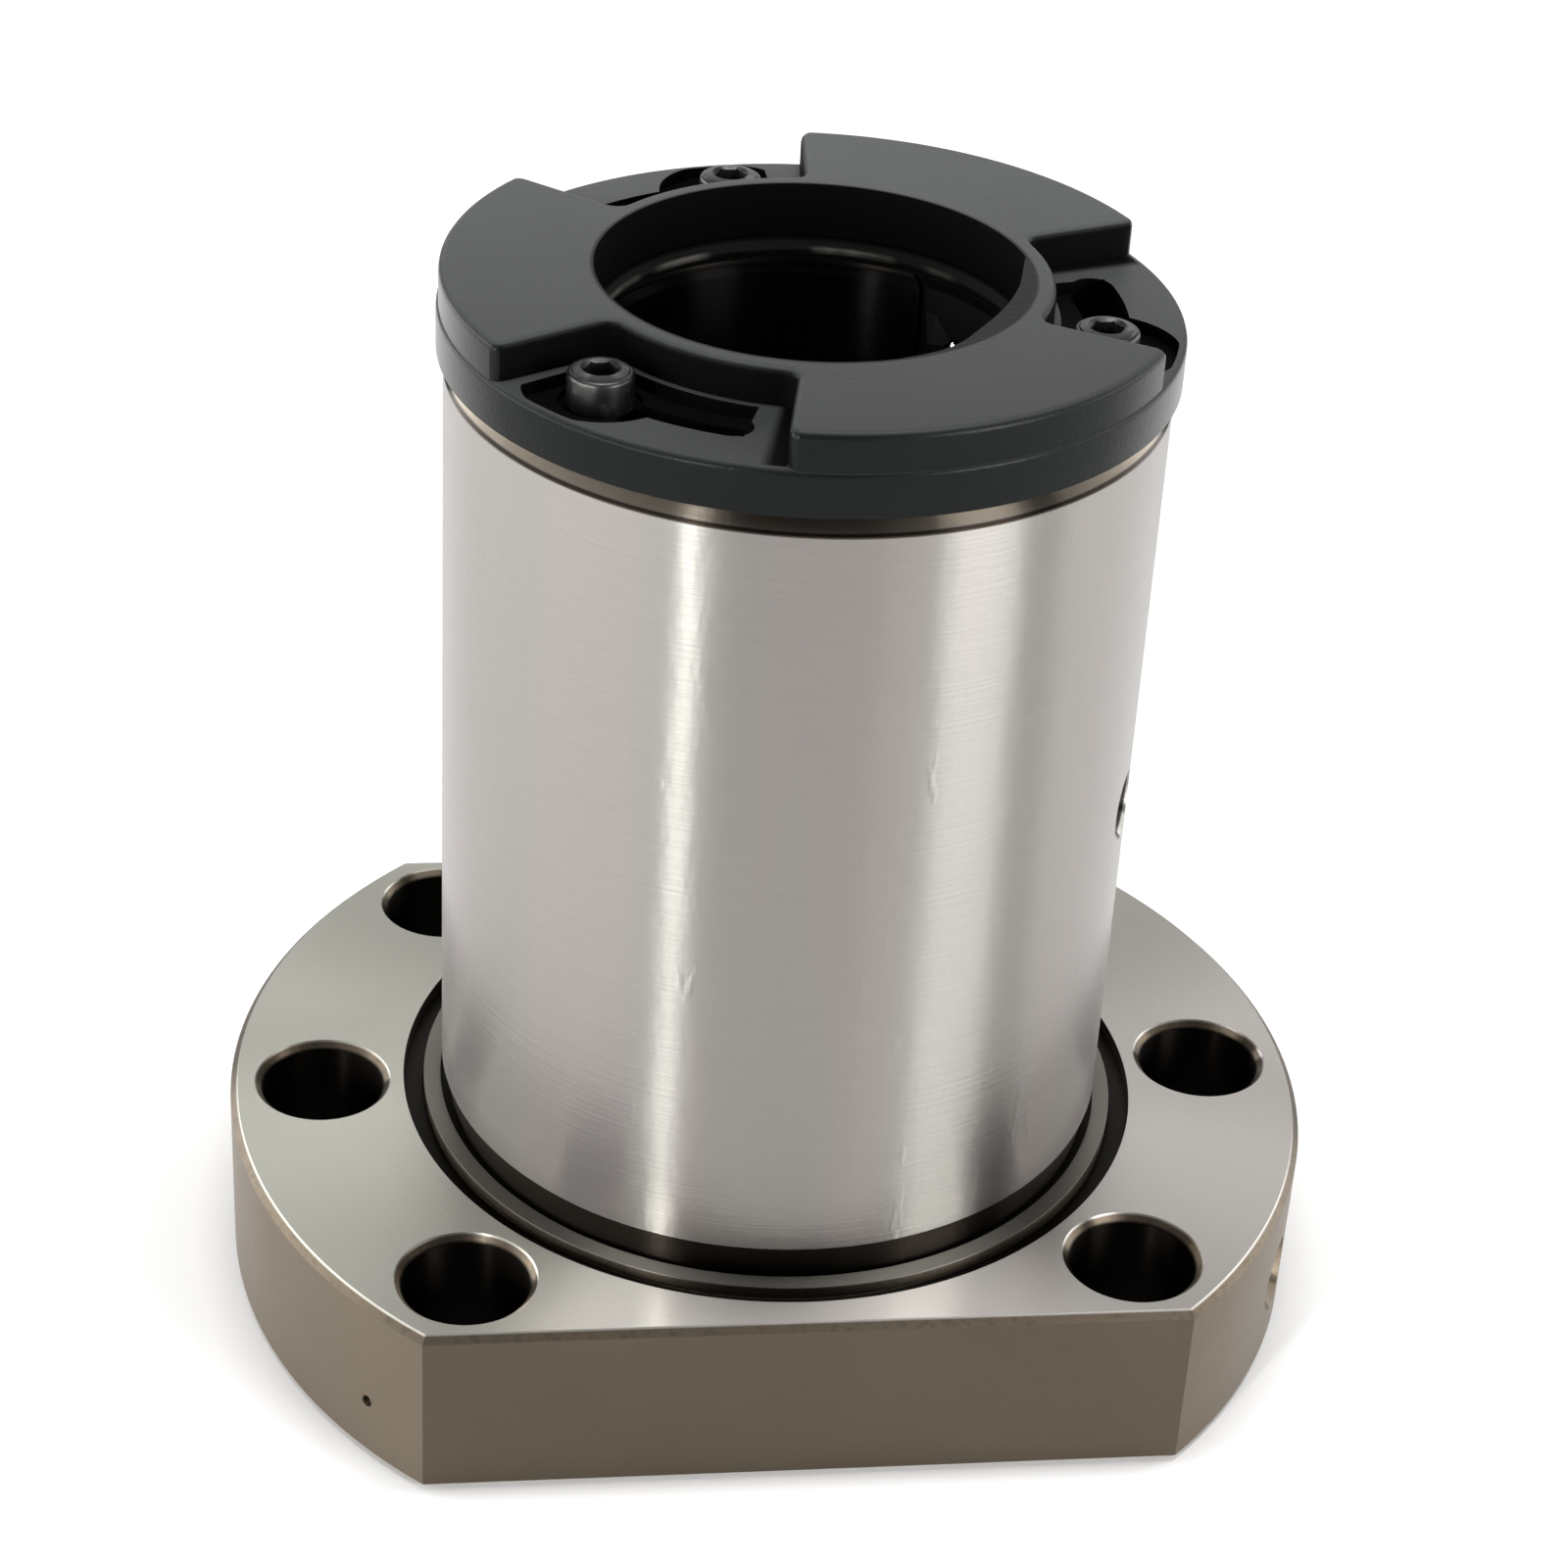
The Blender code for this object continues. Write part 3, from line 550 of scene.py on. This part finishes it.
tools.append(bar(polar(flange_radius, port_angle, port_height),
                 polar(port_end, port_angle, port_height), port_radius, 40, flare=edge_chamfer))
dimple = polar(flange_radius, radians(220.5), 3.6 * MM)
tools.append(bar(dimple, dimple * 0.985, dimple_radius, 20, flare=0.05 * MM))
carve(flange, tools)

satin_steel, shader, wire = new_finish("satin_steel", Metallic=1.0, Roughness=0.42,
                                       Anisotropic=0.95, Anisotropic_Rotation=0.25)
place, x, y, z, radius = axes(wire)
clouds = noise(wire, place, 120.0)
grain = noise(wire, place, 2600.0, 2.0)
face_height = flange_thickness / MM
face = z.step(face_height - 0.12, face_height - 0.03)
outside_ridge = radius.step(groove_inner / MM - 0.03, groove_inner / MM + 0.05)
outside_groove = radius.step(groove_outer / MM - 0.05, groove_outer / MM + 0.05)
ring = outside_ridge * (1 - outside_groove) * (1 - z.step(face_height - 0.1, face_height - 0.02))
ridge = face * (1 - outside_ridge)
outside_root = radius.step(root_groove_radius / MM - 0.04, root_groove_radius / MM + 0.03)
root = (1 - outside_root) * z.step(face_height - 1.0, face_height - 0.7)
outward = wire.node("ShaderNodeCombineXYZ", radius * 6.0, 0.0, 0.0)
rings = wire.node("ShaderNodeTexNoise", Vector=outward, Scale=1.0, Detail=2.0)
# The outer sides are painted dark brown: partly their brown turned finish, partly painted shade.
sides = clouds.blend((0.135, 0.109, 0.080), (0.162, 0.133, 0.100))
tops = clouds.blend((0.48, 0.475, 0.42), (0.54, 0.53, 0.47))
pinker = clouds.blend((0.49, 0.46, 0.435), (0.55, 0.51, 0.485))
tops = (x - y).step(-8.0, 26.0).blend(tops, pinker)
level_off = wire.maths("ABSOLUTE", x) - bolt_circle_radius / MM
slant = bolt_circle_radius / MM / sqrt(2)
slant_off = wire.maths("ABSOLUTE", x) - slant
slant_over = wire.maths("ABSOLUTE", y) - slant
from_level_hole = wire.maths("SQRT", level_off * level_off + y * y)
from_slant_hole = wire.maths("SQRT", slant_off * slant_off + slant_over * slant_over)
hole_wall = bolt_hole_radius / MM
hole = 1 - wire.maths("MINIMUM", from_level_hole, from_slant_hole).step(hole_wall, hole_wall + 0.15)
near_edge = z.step(face_height - 0.45, face_height - 0.35)
under_edge = near_edge * (1 - z.step(face_height - 0.1, face_height - 0.05))
nicks = noise(wire, place, 2400.0, 3.0).step(0.5, 0.62) * under_edge
sides = (nicks * 0.25).blend(sides, (0.04, 0.032, 0.026))
colour = face.blend(sides, (rings * 0.3).blend(tops, (0.38, 0.38, 0.33)))
# The narrow ridge inside the ring groove is painted darker than the face, as painted shade.
colour = ridge.blend(colour, (0.18, 0.17, 0.15))
# The bolt holes, the ring groove and the groove at the root are painted near black, as painted
# shade.
dark = wire.maths("MAXIMUM", wire.maths("MAXIMUM", hole, ring), root)
colour = dark.blend(colour, (0.012, 0.010, 0.008))
feed(shader, "Base Color", colour)
feed(shader, "Roughness", 0.40 + grain * 0.08)
height = rings * face + grain * 0.25
relief = wire.node("ShaderNodeBump", Height=height, Strength=0.08, Distance=0.0002)
feed(shader, "Normal", relief)
polish(shader, wire, 0.25, 0.2, colour, relief)
dress(flange, satin_steel, "ground_steel", "nut_body")


# End caps: moulded in charcoal nylon, one clamped on the end of the cylinder and one sunk in the
# flange's face. Three raised sectors and a collar stand on a thin plate. Each pocket between two
# sectors holds a clamp screw, whose curved slot lets the cap be turned when it is fitted.
cap_radius = 18.35 * MM
sector_radius = cap_radius - 0.12 * MM
cap_bore_radius = 10.75 * MM
collar_radius = 11.8 * MM
tongue_height = 1.0 * MM
tongue_width = 1.8 * MM
pocket_start = radians(209.5)
pocket_angle = radians(50.0)
pocket_depth = 1.9 * MM
back_pocket_extra = radians(4.0)
pocket_angles = [pocket_start + 2 * pi * i / 3 for i in range(3)]
screw_radius = 14.5 * MM
screw_angle = radians(11.0)
slot_sweep = radians(28.0)
slot_half_width = 1.05 * MM
counterbore_radius = 2.0 * MM
counterbore_depth = pocket_depth + 0.95 * MM
sector_foot = -pocket_depth - 0.6 * MM
sector_corner = 0.7 * MM
seat_sink = 0.65 * MM
seat_radius = 3.7 * MM
seat_inner = 12.15 * MM
seat_outer = 17.95 * MM
seat_from_wall = radians(2.2)
seat_track_outer = 15.4 * MM
track_angle = radians(42.0)
wiper_radius = 11.7 * MM
wiper_bore_radius = 10.35 * MM
wiper_thickness = 1.1 * MM
least_cap_volume = 1500 * MM ** 3
outer_place = Matrix.Translation((0, 0, nut_length))
flange_place = Matrix.Translation((0, 0, 0.2 * MM)) @ turn_over(return_angle + radians(128.0), 0)


def arc(radius, start, end, steps):
    return [polar(radius, start + (end - start) * i / steps).to_2d() for i in range(steps + 1)]


def curved_slot(start, sweep, half, low, high):
    """Slot with round ends that follows the circle of the clamp screws."""

    def round_end(angle, heading):
        middle = polar(screw_radius, angle).to_2d()
        return [middle + polar(half, heading + pi * i / 12).to_2d() for i in range(1, 12)]

    end = start + sweep
    outline = arc(screw_radius + half, start, end, 20) + round_end(end, end)
    outline += arc(screw_radius - half, end, start, 20) + round_end(start, start + pi)
    return plate(outline, low, high)


def bored(radius, place, low, high, rows):
    """Core of a bore with the tongue standing in it, which rides in the groove of the screw."""
    shape = bmesh.new()
    loops = []
    for j in range(rows + 1):
        height = low + (high - low) * j / rows
        loop = []
        for i in range(180):
            angle = 2 * pi * i / 180
            at = place @ polar(radius, angle, height)
            turns = (atan2(at.y, at.x) - thread_angle(at.z)) / (2 * pi)
            off = abs(turns - round(turns)) * lead / (tongue_width / 2)
            depth = tongue_height * max(0.0, 1 - off ** 3)
            loop.append(shape.verts.new(polar(min(radius, cap_bore_radius - depth), angle, height)))
        loops.append([shape.edges.new(pair) for pair in zip(loop, loop[1:] + loop[:1])])
    for near, far in zip(loops, loops[1:]):
        bmesh.ops.bridge_loops(shape, edges=near + far)
    for end in (loops[0], loops[-1]):
        bmesh.ops.contextual_create(shape, geom=end)
    bmesh.ops.recalc_face_normals(shape, faces=shape.faces[:])
    return shape


def cap_sectors():
    """The collar and the three raised sectors, with their corners and upper edges rounded over."""
    outline = []
    corners = []
    early = (0.0, 0.0, back_pocket_extra)
    for i, angle in enumerate(pocket_angles):
        end = angle + pocket_angle
        corners += [len(outline), len(outline) + 14, len(outline) + 15]
        outline += arc(collar_radius, angle - early[i], end, 14)
        sweep = arc(sector_radius, end, angle + 2 * pi / 3 - early[(i + 1) % 3], 40)
        corners.append(len(outline) + len(sweep) - 1)
        outline += sweep
    shape = plate(outline, sector_foot, 0.0, corners, sector_corner)
    rim = [e for e in shape.edges if e.verts[0].co.z > -1e-7 and e.verts[1].co.z > -1e-7]
    bmesh.ops.bevel(shape, geom=rim, offset=0.4 * MM, offset_type="OFFSET", segments=4, profile=0.5,
                    affect="EDGES", material=-1)
    return settle(shape)


def seat_outline(angle):
    """Round seat of a clamp screw, kept clear of the collar, the rim and the sector's end wall."""
    middle = polar(screw_radius, angle + screw_angle)
    outline = []
    for i in range(60):
        at = middle + polar(seat_radius, 2 * pi * i / 60)
        turn = max(seat_from_wall, (atan2(at.y, at.x) - angle + pi) % (2 * pi) - pi)
        out = min(max(hypot(at.x, at.y), seat_inner), seat_outer)
        point = polar(out, angle + turn).to_2d()
        if not outline or (point - outline[-1]).length > 0.05 * MM:
            outline.append(point)
    return outline


def moulded_cap(name, place):
    """A cap's plate and sectors joined, then bored, and cut for its wiper and screws."""
    base = spun([
        (0, -cap_thickness),
        (cap_radius, -cap_thickness),
        (cap_radius, -pocket_depth - 0.30 * MM),
        (cap_radius - 0.06 * MM, -pocket_depth - 0.12 * MM),
        (cap_radius - 0.22 * MM, -pocket_depth),
        (0, -pocket_depth),
    ], 240)
    cap = raw_object(name, base)
    carve(cap, [cap_sectors()], "UNION")
    wiper_recess = wiper_thickness + seat_gap - cap_thickness
    tools = [bored(cap_bore_radius, place, -cap_thickness - 0.1 * MM, 0.1 * MM, 8)]
    recess_side = wiper_radius + seat_gap
    tools.append(spun([(0, -cap_thickness - overcut), (recess_side, -cap_thickness - overcut),
                       (recess_side, wiper_recess), (0, wiper_recess)], 180))
    floor_low = -pocket_depth - seat_sink
    for angle in pocket_angles:
        tools.append(plate(seat_outline(angle), floor_low, overcut))
        track = arc(seat_track_outer, angle + screw_angle, angle + track_angle, 20)
        track += arc(seat_inner, angle + track_angle, angle + screw_angle, 20)
        tools.append(plate(track, floor_low - 0.01 * MM, overcut))
        tools.append(curved_slot(angle + screw_angle, slot_sweep, slot_half_width,
                                 -cap_thickness - overcut, overcut))
        seat = polar(screw_radius, angle + screw_angle, -counterbore_depth)
        tools.append(bar(seat, seat + Vector((0, 0, 2 * pocket_depth)), counterbore_radius, 48))
    return carve(cap, tools)


def volume(item):
    shape = bmesh.new()
    shape.from_mesh(item.data)
    size = shape.calc_volume()
    shape.free()
    return size


def end_cap(name, place):
    """A whole cap. One time in several the cuts lose nearly all of it, so it is made anew."""
    cap = moulded_cap(name, place)
    while volume(cap) < least_cap_volume:
        bpy.data.objects.remove(cap, do_unlink=True)
        cap = moulded_cap(name, place)
    cap.data.transform(place)
    return dress(cap, charcoal, "cap_plastic", name, crease=35.0)


charcoal, shader, wire = new_finish("charcoal_nylon", Roughness=0.45, Specular_IOR_Level=0.12)
place, x, y, z, radius = axes(wire)
clouds = noise(wire, place, 140.0)
grain = noise(wire, place, 3200.0, 2.0)
facing = wire.node("ShaderNodeTexCoord", output=1)
rise = wire.node("ShaderNodeSeparateXYZ", facing, output=2)
upright = (1 - rise.step(0.3, 0.7)) * rise.step(-0.7, -0.3)
# Faces that look out along the axis are painted paler: a grey bloom on the nylon, and painted
# light from above that grows toward the back.
bloom_and_top_light = rise.step(0.55, 0.95) * z.step(50.0, 53.0)
bloom_and_top_light = bloom_and_top_light + (1 - rise).step(1.55, 1.95) * (1 - z.step(3.0, 6.0))
painted_light_toward_back = 0.49 + (y + 18.0) * 0.016
nylon = clouds.blend((0.0030, 0.0042, 0.0040), (0.0050, 0.0062, 0.0060))
nylon = (bloom_and_top_light * painted_light_toward_back * (0.7 + clouds * 0.3)).blend(nylon, (0.078, 0.083, 0.080))
# Inside the bore the nylon is painted near black, as painted shade.
in_bore = 1 - radius.step(cap_bore_radius / MM + 0.05, cap_bore_radius / MM + 0.25)
feed(shader, "Base Color", in_bore.blend(nylon, (0.002, 0.002, 0.0022)))
feed(shader, "Roughness", 0.46 + clouds * 0.08 - upright * 0.18)
feed(shader, "Normal", wire.node("ShaderNodeBump", Height=grain, Strength=0.2, Distance=0.0001))
# The walls and sunk floors of the pockets are painted darkest as painted shade, and the floor at
# the foot of an end wall as a painted shadow of that wall.
floor_height = (nut_length - pocket_depth) / MM
inside_rim = 1 - radius.step(17.9, 18.0)
sunk = z.step(2.25, 2.3) * (1 - z.step(floor_height - 0.2, floor_height - 0.15))
in_pocket = wire.maths("MAXIMUM", upright, sunk) * inside_rim
turned = wire.maths("ARCTAN2", y, x) - (pocket_start + pocket_angle)
wall_foot = wire.maths("FRACT", turned / (2 * pi / 3)).step(0.962, 0.984)
over_floor = z.step(floor_height + 0.04, floor_height + 0.1)
pocket_floor = z.step(floor_height - 0.15, floor_height - 0.08) * (1 - over_floor) * inside_rim
in_pocket = wire.maths("MAXIMUM", in_pocket, wall_foot * pocket_floor)
shade = new_lobe(wire, Base_Color=(0.0015, 0.0017, 0.0017, 1.0), Roughness=0.7,
                 Specular_IOR_Level=0.03)
# The upright rim takes a soft sheen where it turns away from the eye.
glance = wire.node("ShaderNodeLayerWeight", Blend=0.5, output=1)
sheen = new_lobe(wire, Base_Color=(0.5, 0.5, 0.48, 1.0), Metallic=1.0, Roughness=0.3)
sheen_share = glance.step(0.45, 1.0) * 0.37 * upright
rim = cover(wire, sheen_share, Wire(wire.tree, shader.outputs[0]), sheen)
cover(wire, in_pocket, rim, shade)
end_cap("end_cap_outer", outer_place).name = "outer_end_cap"
end_cap("end_cap_flange", flange_place).name = "flange_end_cap"


# Wipers: a moulded nylon ring held in the back of each cap by the end of the steel. Its thin lip,
# cut to a V with a tongue for the groove, wipes the screw's thread and has pale painted highlights.
lip_half = 0.06 * MM
lip_slope = 0.3 * MM


def wiper(name, place):
    """A wiper ring with chamfered corners and a V-shaped lip."""
    outer_face = seat_gap / 2 - cap_thickness + wiper_thickness
    inner_face = outer_face - wiper_thickness
    chamfer = 0.12 * MM
    ring = raw_object(name, spun([
        (wiper_radius, inner_face + chamfer),
        (wiper_radius, outer_face - chamfer),
        (wiper_radius - chamfer, outer_face),
        (wiper_bore_radius - overcut, outer_face),
        (wiper_bore_radius - overcut, inner_face),
        (wiper_radius - chamfer, inner_face),
    ], 180))
    middle = (outer_face + inner_face) / 2
    above, below = outer_face + 0.1 * MM, inner_face - 0.1 * MM
    slope_end = wiper_bore_radius + lip_slope
    carve(ring, [
        bored(wiper_bore_radius, place, below, above, 4),
        spun([(0, middle + lip_half), (wiper_bore_radius, middle + lip_half),
              (slope_end, outer_face - 0.1 * MM), (slope_end, above), (0, above)], 180),
        spun([(0, below), (slope_end, below), (slope_end, inner_face + 0.1 * MM),
              (wiper_bore_radius, middle - lip_half), (0, middle - lip_half)], 180),
    ])
    ring.data.transform(place)
    return dress(ring, lip_nylon, "wiper_plastic", name)


lip_nylon, shader, wire = new_finish("lip_nylon", Roughness=0.5, Specular_IOR_Level=0.06)
place, x, y, z, radius = axes(wire)
clouds = noise(wire, place, 300.0)
lip_edge = wiper_bore_radius / MM
patches = noise(wire, place, 160.0).step(0.45, 0.6)
# Pale patches on the lip's edge are painted highlight.
pale_lip_highlight = (1 - radius.step(lip_edge + 0.03, lip_edge + 0.15)) * patches
nylon = clouds.blend((0.003, 0.003, 0.0028), (0.006, 0.0057, 0.005))
feed(shader, "Base Color", pale_lip_highlight.blend(nylon, (0.09, 0.085, 0.075)))
feed(shader, "Roughness", 0.45 + clouds * 0.1)
wiper("wiper_outer", outer_place).name = "outer_wiper"
wiper("wiper_flange", flange_place).name = "flange_wiper"


# Clamp screws: 2 mm socket head cap screws, turned in steel with a dark oxide finish. Each passes
# through its slot into a tapped hole in the end of the steel body.
screw_size = 2.0 * MM
screw_seat = 2.70 * MM
screw_foot = -screw_seat - 6.0 * MM
head_radius = 1.6 * MM
head_height = 1.7 * MM
head_top = head_height - screw_seat
crown = 0.18 * MM
head_round = 0.22 * MM
neck_fillet = 0.15 * MM
point_chamfer = 0.2 * MM
socket_half = 0.75 * MM
socket_depth = 0.9 * MM


def cap_screw(name, angle, place):
    """Screw with a rounded head rim, a countersunk hex socket and a chamfered point."""
    profile = [(0, head_top + crown), (0.98 * MM, head_top + 0.85 * crown),
               (1.32 * MM, head_top + 0.35 * crown)]
    profile += [(head_radius - head_round + head_round * sin(pi / 2 * i / 4),
                 head_top - head_round + head_round * cos(pi / 2 * i / 4)) for i in range(5)]
    profile += [(head_radius, -screw_seat), (screw_size / 2 + neck_fillet, -screw_seat),
                (screw_size / 2, -screw_seat - neck_fillet),
                (screw_size / 2, screw_foot + point_chamfer),
                (screw_size / 2 - point_chamfer, screw_foot), (0, screw_foot)]
    screw = raw_object(name, spun(profile, 48))
    hexagon = [polar(socket_half / cos(pi / 6), pi / 3 * i).to_2d() for i in range(6)]
    entry = spun([(0, head_top), (0.78 * MM, head_top), (1.0 * MM, head_top + crown),
                  (0, head_top + crown)], 36)
    carve(screw, [plate(hexagon, head_top - socket_depth, head_top + overcut), entry])
    screw.data.transform(place @ Matrix.Translation(polar(screw_radius, angle)))
    return dress(screw, dark_oxide, "screw_steel", name)


dark_oxide, shader, wire = new_finish("dark_oxide", Metallic=1.0, Roughness=0.3)
place, x, y, z, radius = axes(wire)
wear = noise(wire, place, 900.0)
feed(shader, "Base Color", wear.step(0.5, 0.75).blend((0.06, 0.06, 0.058), (0.16, 0.16, 0.155)))
feed(shader, "Roughness", 0.32 + wear * 0.16)
for i, angle in enumerate(pocket_angles, 1):
    turn = angle + screw_angle
    cap_screw(f"cap_screw_outer_{i}", turn, outer_place).name = f"outer_screw_{i}"
    cap_screw(f"cap_screw_flange_{i}", turn, flange_place).name = f"flange_screw_{i}"


# Deflectors: moulded inserts in the steel, one at each end of the track. They lift the balls out
# of the track and turn them into the drilled passage. The solids already have their shape.
resin, shader, wire = new_finish("deflector_resin", Roughness=0.55, Specular_IOR_Level=0.1)
place, x, y, z, radius = axes(wire)
clouds = noise(wire, place, 400.0)
feed(shader, "Base Color", clouds.blend((0.006, 0.006, 0.0058), (0.011, 0.011, 0.0105)))
feed(shader, "Roughness", 0.4 + clouds * 0.1)
for name in ("deflector_outer", "deflector_flange"):
    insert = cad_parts[name]
    insert.data.materials.clear()
    insert.data.materials.append(resin)


# Balls: hardened and polished steel, loose in the track and in the return. Here each ball of the
# track is its own sphere, a little smaller than its pitch, and the trains of the return keep their
# solids, because the steel hides them.
polished, shader, wire = new_finish("polished_balls", Metallic=1.0, Roughness=0.12)
place, x, y, z, radius = axes(wire)
film = noise(wire, place, 700.0)
feed(shader, "Base Color", film.blend((0.58, 0.58, 0.57), (0.68, 0.68, 0.68)))
feed(shader, "Roughness", 0.1 + film * 0.08)
turn_length = hypot(2 * pi * track_radius, lead)
track_length = track_turns * turn_length
turns = ceil(track_turns)
pressed = 2 * ball_radius - ball_pitch
ball_count = floor((track_length - turns * seat_gap - turns * pressed) / ball_pitch)
shares = [ball_count // turns + (1 if i < ball_count % turns else 0) for i in range(turns)]
row_lengths = [(share - 1) * ball_pitch + 2 * ball_radius for share in shares]
spare = (track_length - sum(row_lengths)) / turns
travelled = spare / 2
for number, (share, row_length) in enumerate(zip(shares, row_lengths)):
    row = bmesh.new()
    for i in range(share):
        height = track_bottom + (travelled + ball_radius + i * ball_pitch) / turn_length * lead
        middle = polar(track_radius, thread_angle(height), height)
        bmesh.ops.create_icosphere(row, subdivisions=3, radius=ball_radius * 0.985,
                                   matrix=Matrix.Translation(middle))
    balls = raw_object(f"balls_of_turn_{number + 1}", row)
    dress(balls, polished, "ball_steel", f"ball_train_turn_{number + 1}", crease=180.0)
    travelled += row_length + spare
for name in ("ball_train_outer_bend", "ball_train_passage", "ball_train_flange_bend"):
    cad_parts[name].data.materials.clear()
    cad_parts[name].data.materials.append(polished)
